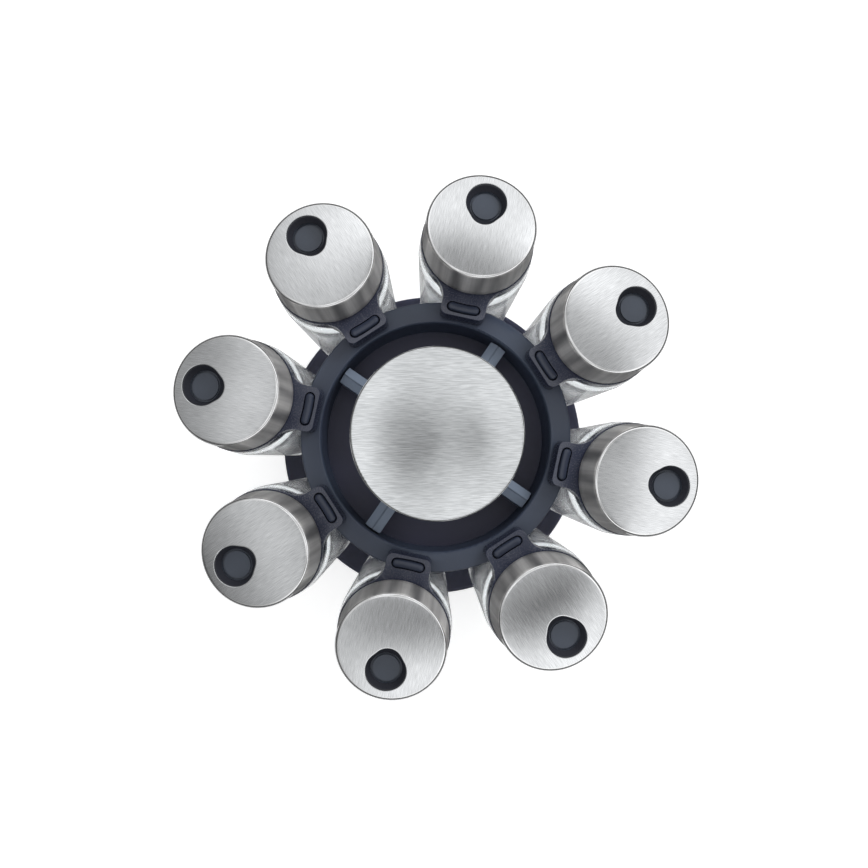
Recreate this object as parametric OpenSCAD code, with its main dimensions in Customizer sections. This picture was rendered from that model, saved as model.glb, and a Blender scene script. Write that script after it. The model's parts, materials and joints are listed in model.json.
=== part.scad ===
// Spice carousel: eight glass jars with steel twist caps hang by their ears from
// the pegs of a turning drum, which runs on a ball race over a weighted round base.
// Frame: origin at the centre of the foot ring's underside, +Z up. Jar 1 hangs at +X
// and the others follow anticlockwise. Inside a jar's own frame +Z runs up its axis
// from the centre of the cap's top, and +X points away from the carousel.

/* [Hanging] */
// Lean of each jar from upright, its cap outwards
jar_lean = 14.5; // [10:0.5:17]
// Distance from the carousel's axis to the centre of each cap's top
cap_circle_r = 92.2; // [88:0.2:105]
// Height of the centre of each cap's top above the table
cap_top_z = 133; // [130:1:150]
// Clearance between a jar's glass and the drum it leans on
drum_gap = 1.1; // [0.5:0.1:2]
// Clearance under a hung ear
seat_gap = 0.3; // [0.2:0.1:0.6]

/* [Glass] */
// Length of a jar from cap top to glass foot
jar_length = 103; // [96:1:106]
// Outer radius of the glass below its shoulder
body_r = 25; // [24.6:0.1:26]
// Outer radius of the glass just above its heel
foot_r = 20.5; // [18:0.1:23]
// Length of the straight stretch between shoulder and taper
straight_l = 9; // [4:0.5:20]
// Rounding of the shoulder
shoulder_round = 2.5; // [1:0.1:4]
// Rounding of the heel
heel_round = 6; // [3:0.5:8]
// Thickness of the glass wall
glass_wall = 2; // [1.5:0.1:3]
// Thickness of the glass foot
glass_foot = 6; // [4:0.5:9]
// Outer radius of the neck
neck_r = 19.6; // [19:0.1:20]
// Inner radius of the neck
neck_bore_r = 17.4; // [17.1:0.1:17.6]

/* [Collar and ear] */
// How far the collar's flange stays inside the glass's side
collar_inset = 0.3; // [0:0.1:0.4]
// Thickness of the flange
collar_t = 5.4; // [4:0.1:7]
// Gap between the cap's lower edge and the flange
cap_gap = 0.9; // [0.3:0.1:1.2]
// Gap between the flange and the glass shoulder
shoulder_gap = 0.3; // [0.2:0.1:0.6]
// Wall of the collar's sleeve round the neck
sleeve_wall = 1.6; // [1.4:0.1:1.7]
// Clearance between the sleeve and the neck
neck_gap = 0.3; // [0.2:0.05:0.4]
// Distance from the glass's side to the middle of the ear's slot
ear_l = 6.3; // [5.5:0.1:8]
// Width of the ear
ear_w = 19.6; // [18:0.2:23]
// Width of the ear's rim beyond the slot
ear_rim = 1.5; // [1.2:0.1:3]
// How far the ear reaches below the flange
ear_drop = 1; // [0.5:0.1:2]
// Radius of the ear's outer corners
ear_corner_r = 3; // [1.5:0.5:4]
// Radius of the hollow that flares the ear into the collar
ear_flare_r = 10; // [6:0.5:12]

/* [Pegs] */
// Width of a peg
peg_w = 3.5; // [2.6:0.1:4]
// Length of a peg along the ring
peg_l = 13.6; // [11:0.2:14.6]
// Clearance between a peg and its slot, each side
peg_gap = 0.6; // [0.3:0.05:0.8]
// How far a peg stands above the ear
peg_proud = 0.3; // [0:0.1:1]

/* [Twist cap] */
// Radius of the cap at its top edge
cap_r = 24; // [23.8:0.1:24.2]
// Height of the cap
cap_h = 20.3; // [19:0.1:23]
// How much the cap widens to its lower edge
cap_flare = 0.3; // [0:0.1:0.6]
// Rise of the cap's gently domed top
cap_crown = 0.9; // [0.5:0.1:1.4]
// Rounding of the cap's top edge
cap_edge_r = 1.5; // [0.8:0.1:1.6]
// Thickness of the steel
steel_t = 0.6; // [0.4:0.1:0.7]
// Distance from the cap's axis to the middle of its outlet
outlet_x = 10.6; // [9.8:0.1:10.6]
// Radius of the outlet at the foot of its funnel
outlet_r = 6.9; // [5:0.1:7.1]
// Radius of the wide end of the egg-shaped opening
mouth_r = 8.8; // [8:0.1:9]
// Radius of the narrow end of the egg-shaped opening
mouth_tip_r = 6.3; // [4.5:0.1:7]
// Length between the middles of the two ends of the opening
mouth_l = 4; // [3:0.1:5]
// Depth of the funnel's foot below the cap's top
funnel_s = 4.5; // [4.4:0.1:6]
// Thickness of the insert's top plate
insert_t = 1.9; // [1.5:0.1:2.1]
// Thickness of the insert's skirt
skirt_wall = 1.1; // [0.9:0.05:1.3]
// How far the two snap beads overlap
snap_overlap = 0.25; // [0.1:0.05:0.4]

/* [Sifter] */
// Gap between the funnel's foot and the sifter
sifter_gap = 0.4; // [0.3:0.1:0.8]
// Thickness of the sifter plate
sifter_t = 1.6; // [1.4:0.1:2.5]
// Radius of each sprinkle hole
sprinkle_r = 1.1; // [0.8:0.1:1.4]
// Radius of the pour opening
pour_r = 5.8; // [4:0.1:6.2]
// Wall of the sifter's spigot inside the neck
spigot_wall = 1; // [0.8:0.1:1.2]
// Length of the spigot
spigot_l = 4; // [2:0.5:8]
// Radius of the stop lug that ends the cap's turn
lug_r = 1.2; // [1:0.1:1.4]
// Depth of the lug's track
track_d = 1; // [0.6:0.1:1.1]

/* [Ring and well] */
// Width of the sloping ring
ring_w = 9.1; // [8:0.1:11]
// Thickness of the ring
ring_t = 3; // [2.4:0.1:4]
// Height of the ring's outer lip
lip_h = 3.2; // [2.5:0.1:5]
// Rounding of the lip's edges
lip_round = 0.8; // [0.4:0.1:1.2]
// Depth of the well from the ring's inner edge
well_depth = 27; // [18:1:40]
// How much the well narrows to its floor
well_draft = 1.8; // [0.5:0.1:4]
// Wall and floor of the well
well_wall = 2.4; // [1.6:0.1:3.5]

/* [Drum] */
// Wall of the drum
drum_wall = 2.6; // [2:0.1:4]
// Depth of the ring's spigot inside the drum
joint_l = 6; // [3:0.5:10]
// Thickness of the spigot
joint_t = 2; // [1.5:0.1:3]
// Thickness of the drum's lower flange
flange_t = 3; // [2:0.5:5]
// Width of the drum's lower flange
flange_w = 6.8; // [6.4:0.1:7.4]

/* [Column and disc] */
// Radius of the column
column_r = 15; // [12:0.5:20]
// Wall of the column
column_wall = 3; // [2:0.5:5]
// Thickness of the column's foot
column_foot_t = 3; // [2:0.5:5]
// Width of the column's foot round the column
column_foot_w = 7; // [6.5:0.5:9]
// Radius of the flare under the carrier
column_flare_r = 18; // [10:1:19]
// Width of each spoke
spoke_w = 7.5; // [5:0.5:12]
// Rise of a spoke's gable
gable_h = 2; // [1:0.1:4]
// Depth of a spoke's ridge below the ring's inner edge
spoke_drop = 5.5; // [3:0.5:12]
// Gap between a spoke's end and the well wall
spoke_gap = 0.8; // [0.3:0.1:2]
// Width of the groove along a spoke's ridge
groove_w = 0.6; // [0.3:0.1:1]
// Radius of the steel disc
disc_r = 36.4; // [34:0.2:46]
// Height of the disc's top edge above the cap tops' centres
disc_lift = 23.1; // [16:0.5:40]
// Rise of the disc's dome
disc_crown = 1.6; // [0.6:0.1:3]
// Height of the disc's rim
disc_rim_h = 2.8; // [2:0.1:5]
// Thickness of the disc's steel
disc_t = 0.9; // [0.6:0.1:1.5]
// Thickness of the carrier's plate
carrier_t = 2.6; // [2.2:0.1:4]

/* [Bearing] */
// Radius of the ball circle
race_r = 27; // [24:0.5:28]
// Radius of a ball
ball_r = 2.4; // [1.8:0.1:2.6]
// Number of balls
ball_count = 20; // [12:1:22]
// Gap between the base and the turntable plate
race_gap = 1.4; // [1.2:0.1:2]
// Clearance between balls and races, and round the cage
race_clear = 0.3; // [0.2:0.05:0.35]
// Radius of the spindle
spindle_r = 4; // [3:0.5:6]
// Running clearance of the spindle in its bush
running_gap = 0.05; // [0.02:0.01:0.1]
// Wall of the bush
bush_wall = 2.4; // [1.5:0.1:3]
// Length of the bush
bush_l = 13; // [10:0.5:20]
// Thickness of the turntable plate
plate_t = 3; // [2.8:0.1:5]
// Wall of the plate's hub
hub_wall = 3.5; // [2:0.5:5]
// Thickness of the retaining clip
clip_t = 1.2; // [0.8:0.1:2]

/* [Base] */
// Radius of the base
base_r = 72.1; // [68:0.5:90]
// Height of the base's rim
base_rim_h = 10.5; // [10:0.5:14]
// Rise from the rim to the middle of the base
base_crown = 2.4; // [1:0.1:4]
// Rounding of the rim's top edge
base_round = 1.6; // [0.8:0.1:2.5]
// Wall of the base
base_wall = 2.6; // [2:0.1:3]
// Thickness of the base under the race
race_floor = 4.4; // [3.6:0.1:4.6]
// Height that the foot ring lifts the base
foot_lift = 1.5; // [1:0.1:3]
// Width of the foot ring
foot_w = 6.6; // [4:0.2:9]
// Distance from the base's rim to the foot ring
foot_inset = 5.3; // [5:0.1:6]
// Thickness of the cover
cover_t = 1.8; // [1.6:0.1:2.4]
// Depth of the foot ring's groove in the cover
foot_bed = 0.6; // [0.4:0.1:0.8]
// Thickness of the ballast
weight_t = 3.8; // [2:0.1:4]
// Number of cover screws
cover_screws_n = 5; // [3:1:8]

/* [Screws] */
// Radius of a screw's shank
screw_r = 1.5; // [1.2:0.1:1.7]
// Radius of a screw's head
screw_head_r = 2.7; // [2.4:0.1:3]
// Height of a screw's head
screw_head_h = 1.6; // [1.2:0.1:1.7]
// Wall of a screw boss
boss_wall = 2; // [1.4:0.1:2.2]
// Clearance between parts that are fastened together
fit_gap = 0.05; // [0.02:0.01:0.1]

/* [Hidden] */
JARS = 8;
SPOKES = 4;
PLATE_SCREWS = 6;
SPRINKLE_HOLES = 6;
PER_JAR = ["glass", "collar", "sifter", "cap_insert", "cap_shell"];
SHARED = ["jar_ring", "drum_shell", "turntable_plate", "spindle_bush", "plate_screws",
          "hub_column", "column_screws", "disc_carrier", "steel_disc",
          "ball_cage", "bearing_balls",
          "base_dish", "base_weight", "base_cover", "base_screws", "foot_ring",
          "spindle", "spindle_clip"];

$fn = 96;
DOME_FN = 720;
HULL_FN = 32;
SLOT_STEPS = 8;
OVER = 1;
BLACK = "#34363d";
SLATE = "#4a5360";
STEEL = "#b9bab8";
CLEAR = [0.85, 0.9, 0.92, 0.35];
BRASS = "#b08d4a";
RUBBER = "#1d1d1f";

// Depths below the cap's top, along a jar's axis
sifter_s = funnel_s + sifter_gap;
neck_top_s = sifter_s + sifter_t;
collar_s = cap_h + cap_gap;
collar_end_s = collar_s + collar_t;
ear_end_s = collar_end_s + ear_drop;
seat_s = ear_end_s + seat_gap;
peg_top_s = collar_s - peg_proud;
shoulder_s = collar_end_s + shoulder_gap;
taper_s = shoulder_s + straight_l;
heel_s = jar_length - heel_round;
snap_s = (collar_s + neck_top_s) / 2;

// A jar's radii
collar_r = body_r - collar_inset;
peg_reach = body_r + ear_l;
sleeve_bore_r = neck_r + neck_gap;
sleeve_r = sleeve_bore_r + sleeve_wall;
skirt_r = cap_r - steel_t - fit_gap;
skirt_bore_r = skirt_r - skirt_wall;
bead_h = 1;
bead_gap = 0.3;
skirt_inset = 0.4;
bead_r = (sleeve_r + skirt_bore_r + snap_overlap) / 2;
sifter_r = sleeve_bore_r - fit_gap;
slot_w = peg_w + 2 * peg_gap;
slot_l = peg_l + 2 * peg_gap;
ear_reach = peg_reach + slot_w / 2 + ear_rim;
mouth_x = outlet_x + 0.2;
outlet_wall = 1.2;
lug_circle_r = (neck_bore_r + sifter_r) / 2 - 0.6;
track_gap = 0.2;
lug_foot_gap = 0.3;
lip_groove_w = 1;
peg_root = 1.2;
cap_dome_r = (pow(cap_r - cap_edge_r, 2) + pow(cap_crown, 2)) / (2 * cap_crown);

function glass_at(s) =
    s < taper_s ? body_r : body_r - (body_r - foot_r) * (s - taper_s) / (heel_s - taper_s);

// A point of a jar's inner side, as radius and height on the carousel
function jar_r(x, s) = cap_circle_r + x * cos(jar_lean) - s * sin(jar_lean);
function jar_z(x, s) = cap_top_z - x * sin(jar_lean) - s * cos(jar_lean);

// The drum's side runs parallel to the line on which the glass leans
lean_top = [jar_r(-body_r, taper_s), jar_z(-body_r, taper_s)];
lean_end = [jar_r(-foot_r, heel_s), jar_z(-foot_r, heel_s)];
drum_slope = (lean_top.x - lean_end.x) / (lean_top.y - lean_end.y);
function drum_r(z) = lean_end.x - drum_gap + (z - lean_end.y) * drum_slope;

// The ring slopes with the ears and ends where it meets the drum's side
ring_slope = tan(jar_lean);
seat_r = jar_r(-peg_reach, seat_s);
seat_z = jar_z(-peg_reach, seat_s);
function ring_z(r) = seat_z - (r - seat_r) * ring_slope;
ring_r = (drum_r(ring_z(0) - lip_h)) / (1 + ring_slope * drum_slope);
ring_bore_r = ring_r - ring_w;
joint_z = ring_z(ring_r) - lip_h;
joint_r = drum_r(joint_z) - drum_wall;
well_top_z = ring_z(ring_bore_r) - lip_round;
well_floor_z = ring_z(ring_bore_r) - well_depth;
well_floor_r = ring_bore_r - well_draft;
function ring_point(r, a) = [-r * cos(a), -r * sin(a)];
function well_r(z) =
    well_floor_r + well_draft * (z - well_floor_z) / (well_top_z - well_floor_z);

// Heights of the base and its bearing
base_top_z = base_rim_h + base_crown;
plate_z = base_top_z + race_gap;
ball_z = base_top_z + race_gap / 2;
plate_r = drum_r(plate_z) - drum_wall - fit_gap;
plate_screw_r = plate_r - flange_w / 2;
bush_r = spindle_r + running_gap + bush_wall;
hub_r = bush_r + hub_wall;
clip_z = plate_z + bush_l + race_clear;
clip_groove = 0.8;
clip_rim = 3.6;
cage_rim = 1.6;
race_rim = 6;
flat_r = race_r + ball_r + race_rim;
cover_r = base_r - base_wall - fit_gap;
foot_r_out = base_r - foot_inset;
cover_screw_r = foot_r_out - foot_w - screw_head_r - boss_wall - 1;
boss_r = screw_r + boss_wall;
weight_z = foot_lift + cover_t + fit_gap;
weight_r = cover_screw_r - boss_r - 1;
spindle_head_rim = 3.5;
spindle_head_r = spindle_r + spindle_head_rim;
spindle_head_h = 1.6;
spindle_tip = 2;
weight_gap = 1.5;
tip_gap = 1;

// Heights of the column and disc
disc_edge_z = cap_top_z + disc_lift;
disc_edge_r = 1;
disc_dome_r = (pow(disc_r - disc_edge_r, 2) + pow(disc_crown, 2)) / (2 * disc_crown);
carrier_edge_gap = 0.4;
carrier_z = disc_edge_z - disc_rim_h - carrier_edge_gap;
carrier_r = disc_r - disc_t - fit_gap;
column_top_r = column_r + column_flare_r;
column_top_t = 1.5;
column_top_z = carrier_z - fit_gap;
column_foot_r = column_r + column_foot_w;
column_boss_bite = 0.4;
column_boss_h = 9;
column_thread_l = 7;
column_screw_r = column_r + boss_r - column_boss_bite;
spoke_top_z = ring_z(ring_bore_r) - spoke_drop;

// Places a jar's piece on the carousel
module at_jar(n) {
    rotate([0, 0, (n - 1) * 360 / JARS])
        translate([cap_circle_r, 0, cap_top_z])
            rotate([0, jar_lean, 0])
                children();
}

// A tube between two depths below the cap's top
module tube(s_top, s_end, r_out, r_in) {
    translate([0, 0, -s_end])
        difference() {
            cylinder(h = s_end - s_top, r = r_out);
            translate([0, 0, -OVER])
                cylinder(h = s_end - s_top + 2 * OVER, r = r_in);
        }
}

module at_angles(count, radius) {
    for (k = [0:count - 1])
        rotate([0, 0, k * 360 / count])
            translate([radius, 0, 0])
                children();
}

module screw(length) {
    cylinder(h = screw_head_h, r = screw_head_r);
    cylinder(h = screw_head_h + length, r = screw_r);
}

module screw_hole(depth) {
    translate([0, 0, -OVER])
        cylinder(h = OVER + screw_head_h + fit_gap, r = screw_head_r + fit_gap);
    cylinder(h = screw_head_h + depth + OVER, r = screw_r + fit_gap);
}

// A cap's solid outer form; inset moves every wall inwards
module cap_form(inset, length) {
    side_x = cap_r - cap_edge_r;
    side_z = -cap_crown - cap_edge_r;
    rotate_extrude()
        intersection() {
            translate([0, -cap_dome_r])
                circle(r = cap_dome_r - inset, $fn = DOME_FN);
            translate([0, -length])
                square([side_x, length]);
        }
    translate([0, 0, side_z])
        rotate_extrude()
            translate([side_x, 0])
                circle(r = cap_edge_r - inset);
    rotate_extrude()
        polygon([[0, side_z], [cap_r - inset, side_z],
                 [cap_r + cap_flare * length / cap_h - inset, -length], [0, -length]]);
}

// The egg-shaped opening, its wide end outwards
module mouth_outline() {
    hull() {
        translate([mouth_x, 0])
            circle(r = mouth_r, $fn = HULL_FN);
        translate([mouth_x - mouth_l, 0])
            circle(r = mouth_tip_r, $fn = HULL_FN);
    }
}

// A slot or peg that follows the ring's curve, with round ends
module curved_slot(w, l) {
    half = asin((l - w) / 2 / seat_r);
    translate([seat_r - peg_reach, 0])
        polygon(concat(
            [for (k = [0:SLOT_STEPS]) ring_point(seat_r + w / 2, half * (2 * k / SLOT_STEPS - 1))],
            [for (k = [1:SLOT_STEPS - 1])
                ring_point(seat_r, half) + ring_point(w / 2, half + 180 * k / SLOT_STEPS)],
            [for (k = [0:SLOT_STEPS]) ring_point(seat_r - w / 2, half * (1 - 2 * k / SLOT_STEPS))],
            [for (k = [1:SLOT_STEPS - 1])
                ring_point(seat_r, -half) + ring_point(w / 2, 180 - half + 180 * k / SLOT_STEPS)]));
}

// The collar's outline: a round flange with the ear flared out of its inner side
module collar_outline() {
    flare_y = ear_w / 2 + ear_flare_r;
    flare_x = -sqrt(pow(collar_r + ear_flare_r, 2) - pow(flare_y, 2));
    touch = collar_r / (collar_r + ear_flare_r);
    circle(r = collar_r);
    difference() {
        polygon([[0, -flare_y * touch], [flare_x * touch, -flare_y * touch],
                 [flare_x, -ear_w / 2], [ear_corner_r - ear_reach, -ear_w / 2],
                 [ear_corner_r - ear_reach, ear_w / 2], [flare_x, ear_w / 2],
                 [flare_x * touch, flare_y * touch], [0, flare_y * touch]]);
        for (side = [-1, 1])
            translate([flare_x, side * flare_y])
                circle(r = ear_flare_r);
    }
    for (side = [-1, 1])
        translate([ear_corner_r - ear_reach, side * (ear_w / 2 - ear_corner_r)])
            circle(r = ear_corner_r);
    translate([-ear_reach, ear_corner_r - ear_w / 2])
        square([2 * ear_corner_r, ear_w - 2 * ear_corner_r]);
}

module glass() {
    inner_foot_r = glass_at(heel_s) - glass_wall;
    inner_round = min(heel_round - 1, inner_foot_r - 2);
    inner_s = jar_length - glass_foot;
    punt_r = foot_r - heel_round - 1;
    punt_h = 1.2;
    color(CLEAR)
        difference() {
            union() {
                rotate_extrude()
                    polygon([[0, -neck_top_s], [neck_r, -neck_top_s], [neck_r, -shoulder_s],
                             [body_r - shoulder_round, -shoulder_s],
                             [body_r - shoulder_round, -shoulder_s - shoulder_round],
                             [body_r, -shoulder_s - shoulder_round], [body_r, -taper_s],
                             [foot_r, -heel_s], [foot_r - heel_round, -heel_s],
                             [foot_r - heel_round, -jar_length], [0, -jar_length]]);
                translate([0, 0, -shoulder_s - shoulder_round])
                    rotate_extrude()
                        translate([body_r - shoulder_round, 0])
                            circle(r = shoulder_round);
                translate([0, 0, -heel_s])
                    rotate_extrude()
                        translate([foot_r - heel_round, 0])
                            circle(r = heel_round);
            }
            rotate_extrude()
                polygon([[0, OVER - neck_top_s], [neck_bore_r, OVER - neck_top_s],
                         [neck_bore_r, -shoulder_s - glass_wall],
                         [body_r - glass_wall, -shoulder_s - shoulder_round - glass_wall],
                         [body_r - glass_wall, -taper_s],
                         [glass_at(inner_s - inner_round) - glass_wall, inner_round - inner_s],
                         [inner_foot_r - inner_round, -inner_s], [0, -inner_s]]);
            rotate_extrude()
                polygon([[0, -jar_length - OVER], [punt_r, -jar_length - OVER],
                         [punt_r, -jar_length], [punt_r - 2 * punt_h, punt_h - jar_length],
                         [0, punt_h - jar_length]]);
        }
}

module collar() {
    color(BLACK)
        difference() {
            union() {
                translate([0, 0, -ear_end_s])
                    linear_extrude(height = ear_end_s - collar_s)
                        collar_outline();
                tube(sifter_s, collar_s + OVER, sleeve_r, sleeve_bore_r);
                tube(snap_s - bead_h, snap_s, bead_r, sleeve_bore_r);
            }
            translate([0, 0, -ear_end_s - OVER])
                cylinder(h = ear_end_s + 2 * OVER, r = sleeve_bore_r);
            translate([0, 0, -ear_end_s - OVER])
                cylinder(h = ear_drop + OVER, r = body_r + shoulder_gap);
            translate([0, 0, -ear_end_s - OVER])
                linear_extrude(height = ear_end_s + OVER)
                    curved_slot(slot_w, slot_l);
        }
}

module sifter() {
    spigot_r = neck_bore_r - fit_gap;
    color(SLATE)
        difference() {
            union() {
                translate([0, 0, -neck_top_s + fit_gap])
                    cylinder(h = sifter_t - fit_gap, r = sifter_r);
                tube(neck_top_s - sifter_t / 2, neck_top_s + spigot_l, spigot_r,
                     spigot_r - spigot_wall);
            }
            // ring groove round the closed place
            translate([outlet_x, 0, -sifter_s - track_d])
                difference() {
                    cylinder(h = track_d + OVER, r = outlet_r);
                    translate([0, 0, -OVER])
                        cylinder(h = track_d + 3 * OVER, r = outlet_r - lip_groove_w);
                }
            // sprinkle holes a quarter turn one way
            translate([0, outlet_x, -neck_top_s - OVER]) {
                cylinder(h = sifter_t + 2 * OVER, r = sprinkle_r);
                at_angles(SPRINKLE_HOLES, outlet_r - 2 * sprinkle_r - 0.5)
                    cylinder(h = sifter_t + 2 * OVER, r = sprinkle_r);
            }
            // pour opening a quarter turn the other way
            translate([0, -outlet_x, -neck_top_s - OVER])
                cylinder(h = sifter_t + 2 * OVER, r = pour_r);
            // track of the cap's stop lug, half a turn long
            intersection() {
                tube(sifter_s - OVER, sifter_s + track_d, lug_circle_r + lug_r + track_gap,
                     lug_circle_r - lug_r - track_gap);
                translate([-2 * sifter_r, -sifter_r, -2 * neck_top_s])
                    cube([2 * sifter_r + lug_r + track_gap, 2 * sifter_r, 4 * neck_top_s]);
            }
        }
}

module cap_insert() {
    plate_s = cap_crown + steel_t + insert_t;
    skirt_end_s = cap_h - fit_gap - skirt_inset;
    boss_out_r = mouth_r + outlet_wall;
    color(BLACK)
        difference() {
            union() {
                difference() {
                    cap_form(steel_t + fit_gap, skirt_end_s);
                    translate([0, 0, -skirt_end_s - OVER])
                        cylinder(h = skirt_end_s + OVER - plate_s, r = skirt_bore_r);
                }
                tube(snap_s + bead_gap, snap_s + bead_gap + bead_h,
                     skirt_bore_r + fit_gap, bead_r - snap_overlap);
                translate([outlet_x, 0, -funnel_s])
                    cylinder(h = funnel_s - plate_s + insert_t / 2, r = boss_out_r);
                translate([-lug_circle_r, 0, lug_foot_gap - sifter_s - track_d])
                    cylinder(h = sifter_s + track_d - plate_s, r = lug_r);
            }
            hull() {
                translate([0, 0, -steel_t])
                    linear_extrude(height = OVER)
                        mouth_outline();
                translate([outlet_x, 0, -funnel_s - 0.01])
                    cylinder(h = 0.01, r = outlet_r, $fn = HULL_FN);
            }
            translate([outlet_x, 0, -funnel_s - OVER])
                cylinder(h = OVER + 0.01, r = outlet_r);
        }
}

module cap_shell() {
    color(STEEL)
        difference() {
            cap_form(0, cap_h);
            cap_form(steel_t, cap_h + OVER);
            translate([0, 0, -mouth_r])
                linear_extrude(height = 2 * mouth_r)
                    mouth_outline();
        }
}

// The room inside the well, drawn in by gap
module well_room(gap) {
    rotate_extrude()
        polygon([[0, well_floor_z], [well_floor_r - gap, well_floor_z],
                 [well_r(well_top_z) - gap, well_top_z],
                 [well_r(well_top_z) - gap, disc_edge_z], [0, disc_edge_z]]);
}

module jar_ring() {
    under_z = ring_z(ring_r - lip_round) - ring_t;
    color(BLACK)
        difference() {
            union() {
                rotate_extrude() {
                    polygon([[0, well_floor_z], [well_floor_r, well_floor_z],
                             [ring_bore_r, well_top_z], [ring_bore_r + lip_round, well_top_z],
                             [ring_bore_r + lip_round, ring_z(ring_bore_r + lip_round)],
                             [ring_r - lip_round, ring_z(ring_r - lip_round)],
                             [ring_r - lip_round, ring_z(ring_r) - lip_round],
                             [ring_r, ring_z(ring_r) - lip_round], [ring_r, joint_z],
                             [joint_r - fit_gap, joint_z], [joint_r - fit_gap, joint_z - joint_l],
                             [joint_r - joint_t, joint_z - joint_l], [joint_r - joint_t, under_z],
                             [ring_bore_r + well_wall, under_z],
                             [well_floor_r + well_wall, well_floor_z - well_wall],
                             [0, well_floor_z - well_wall]]);
                    translate([ring_bore_r + lip_round, ring_z(ring_bore_r + lip_round) - lip_round])
                        circle(r = lip_round);
                    translate([ring_r - lip_round, ring_z(ring_r - lip_round) - lip_round])
                        circle(r = lip_round);
                }
                for (n = [1:JARS])
                    at_jar(n)
                        translate([0, 0, -seat_s - peg_root])
                            linear_extrude(height = seat_s + peg_root - peg_top_s)
                                curved_slot(peg_w, peg_l);
            }
            at_angles(SPOKES, column_screw_r)
                translate([0, 0, well_floor_z - well_wall - OVER])
                    cylinder(h = well_wall + 2 * OVER, r = screw_r + fit_gap);
        }
}

module drum_shell() {
    flange_z = plate_z + plate_t + fit_gap;
    color(BLACK)
        difference() {
            rotate_extrude()
                polygon([[drum_r(plate_z), plate_z], [drum_r(joint_z), joint_z - fit_gap],
                         [joint_r, joint_z - fit_gap], [joint_r, joint_z - joint_l - fit_gap],
                         [drum_r(joint_z - joint_l - 2) - drum_wall, joint_z - joint_l - 2],
                         [drum_r(flange_z + flange_t) - drum_wall, flange_z + flange_t],
                         [plate_r - flange_w, flange_z + flange_t], [plate_r - flange_w, flange_z],
                         [drum_r(flange_z) - drum_wall, flange_z],
                         [plate_r + fit_gap, plate_z]]);
            at_angles(PLATE_SCREWS, plate_screw_r)
                translate([0, 0, flange_z - OVER])
                    cylinder(h = flange_t + 2 * OVER, r = screw_r + fit_gap);
        }
}

module turntable_plate() {
    rib_t = 2;
    rib_h = 4;
    rib_end = plate_r - flange_w - 1;
    color(BLACK)
        difference() {
            union() {
                translate([0, 0, plate_z])
                    cylinder(h = plate_t, r = plate_r);
                translate([0, 0, plate_z])
                    cylinder(h = bush_l, r = hub_r);
                for (k = [0:5])
                    rotate([0, 0, 30 + 60 * k])
                        translate([hub_r - 1, -rib_t / 2, plate_z + plate_t / 2])
                            cube([rib_end - hub_r + 1, rib_t, plate_t / 2 + rib_h]);
            }
            translate([0, 0, plate_z - OVER])
                cylinder(h = bush_l + 2 * OVER, r = bush_r + fit_gap);
            translate([0, 0, ball_z])
                rotate_extrude()
                    translate([race_r, 0])
                        circle(r = ball_r + race_clear / 2);
            at_angles(PLATE_SCREWS, plate_screw_r)
                translate([0, 0, plate_z])
                    screw_hole(plate_t);
        }
}

module plate_screws() {
    color(STEEL)
        at_angles(PLATE_SCREWS, plate_screw_r)
            translate([0, 0, plate_z + fit_gap])
                screw(plate_t + flange_t - screw_head_h);
}

module spindle_bush() {
    color(BRASS)
        translate([0, 0, plate_z])
            difference() {
                cylinder(h = bush_l, r = bush_r);
                translate([0, 0, -OVER])
                    cylinder(h = bush_l + 2 * OVER, r = spindle_r + running_gap);
            }
}

// One spoke with its gabled ridge, drawn along +X
module spoke() {
    shoulder_z = spoke_top_z - gable_h;
    rotate([90, 0, 90])
        linear_extrude(height = ring_bore_r)
            difference() {
                polygon([[-spoke_w / 2, well_floor_z], [spoke_w / 2, well_floor_z],
                         [spoke_w / 2, shoulder_z], [0, spoke_top_z], [-spoke_w / 2, shoulder_z]]);
                translate([-groove_w / 2, spoke_top_z - groove_w - groove_w * gable_h / spoke_w])
                    square([groove_w, 2 * groove_w]);
            }
}

module hub_column() {
    flare_z = column_top_z - column_top_t - column_flare_r;
    color(BLACK)
        difference() {
            union() {
                rotate_extrude()
                    difference() {
                        polygon([[0, well_floor_z + fit_gap], [column_foot_r, well_floor_z + fit_gap],
                                 [column_foot_r, well_floor_z + column_foot_t],
                                 [column_r, well_floor_z + column_foot_t], [column_r, flare_z],
                                 [column_top_r, flare_z], [column_top_r, column_top_z],
                                 [0, column_top_z]]);
                        translate([column_top_r, flare_z])
                            circle(r = column_flare_r);
                    }
                intersection() {
                    well_room(spoke_gap);
                    translate([0, 0, fit_gap])
                        for (k = [0:SPOKES - 1])
                            rotate([0, 0, (k + 0.75) * 360 / SPOKES])
                                spoke();
                }
                at_angles(SPOKES, column_screw_r)
                    translate([0, 0, well_floor_z + fit_gap])
                        cylinder(h = column_boss_h, r = boss_r);
            }
            translate([0, 0, well_floor_z - OVER])
                cylinder(h = flare_z - well_floor_z, r = column_r - column_wall);
            at_angles(SPOKES, column_screw_r)
                translate([0, 0, well_floor_z - OVER])
                    cylinder(h = column_thread_l + OVER + tip_gap, r = screw_r + fit_gap);
        }
}

module column_screws() {
    color(STEEL)
        at_angles(SPOKES, column_screw_r)
            translate([0, 0, well_floor_z - well_wall - fit_gap - screw_head_h])
                screw(well_wall + column_thread_l);
}

module disc_carrier() {
    color(BLACK)
        rotate_extrude()
            intersection() {
                translate([0, disc_edge_z + disc_crown - disc_dome_r])
                    circle(r = disc_dome_r - disc_t - fit_gap, $fn = DOME_FN);
                polygon([[0, carrier_z], [carrier_r - carrier_t, carrier_z],
                         [carrier_r, carrier_z + carrier_t / 2],
                         [carrier_r, disc_edge_z - disc_t - fit_gap - carrier_edge_gap],
                         [carrier_r - 1, disc_edge_z + disc_crown],
                         [0, disc_edge_z + disc_crown]]);
            }
}

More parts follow.
